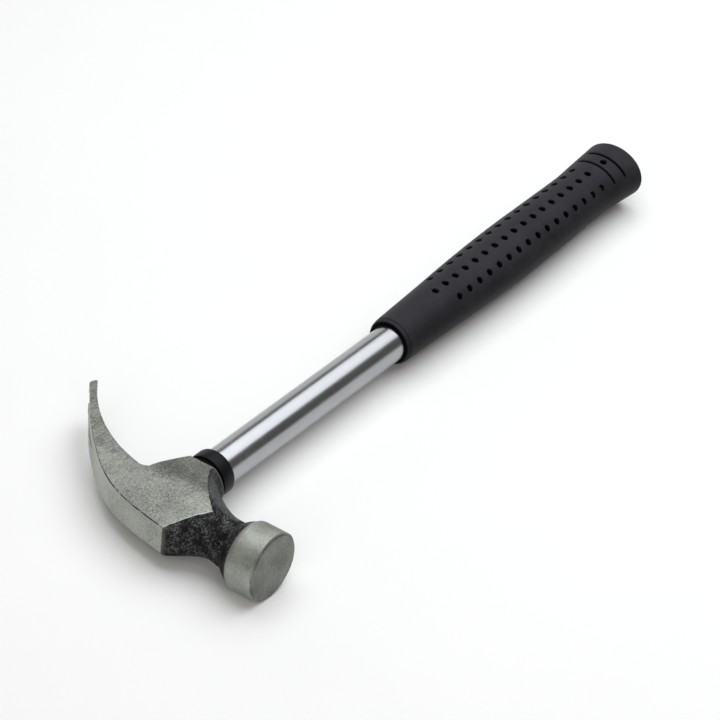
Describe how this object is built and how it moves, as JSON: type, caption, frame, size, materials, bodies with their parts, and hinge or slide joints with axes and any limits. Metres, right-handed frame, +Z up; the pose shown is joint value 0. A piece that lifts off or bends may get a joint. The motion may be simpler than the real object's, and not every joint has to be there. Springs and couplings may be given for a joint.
{
  "type": "claw hammer",
  "caption": "Claw hammer with a one-piece steel head, a round plated steel tube handle and an oval rubber grip, for driving and pulling nails.",
  "frame": {"origin": "under the middle of the hammer's box, on the surface that it lies on", "axes": "+X runs along the handle from the head to the butt, -Y is where the striking face points, +Y is where the claw points, +Z is up, square to the cheeks of the head as it lies on its side"},
  "size_m": [0.3434, 0.122, 0.0292],
  "materials": {
    "head_steel": "ground and forged steel",
    "tube_chrome": "bright chrome plate",
    "collar_plastic": "satin moulded",
    "grip_rubber": "satin moulded rubber",
    "plug_steel": "plain turned steel",
    "cap_plastic": "plain moulded"
  },
  "bodies": {
    "root": {"head": "head_steel", "handle_tube": "tube_chrome", "collar": "collar_plastic", "grip": "grip_rubber", "expansion_plug": "plug_steel", "tube_end_plug": "cap_plastic"}
  },
  "joints": []
}
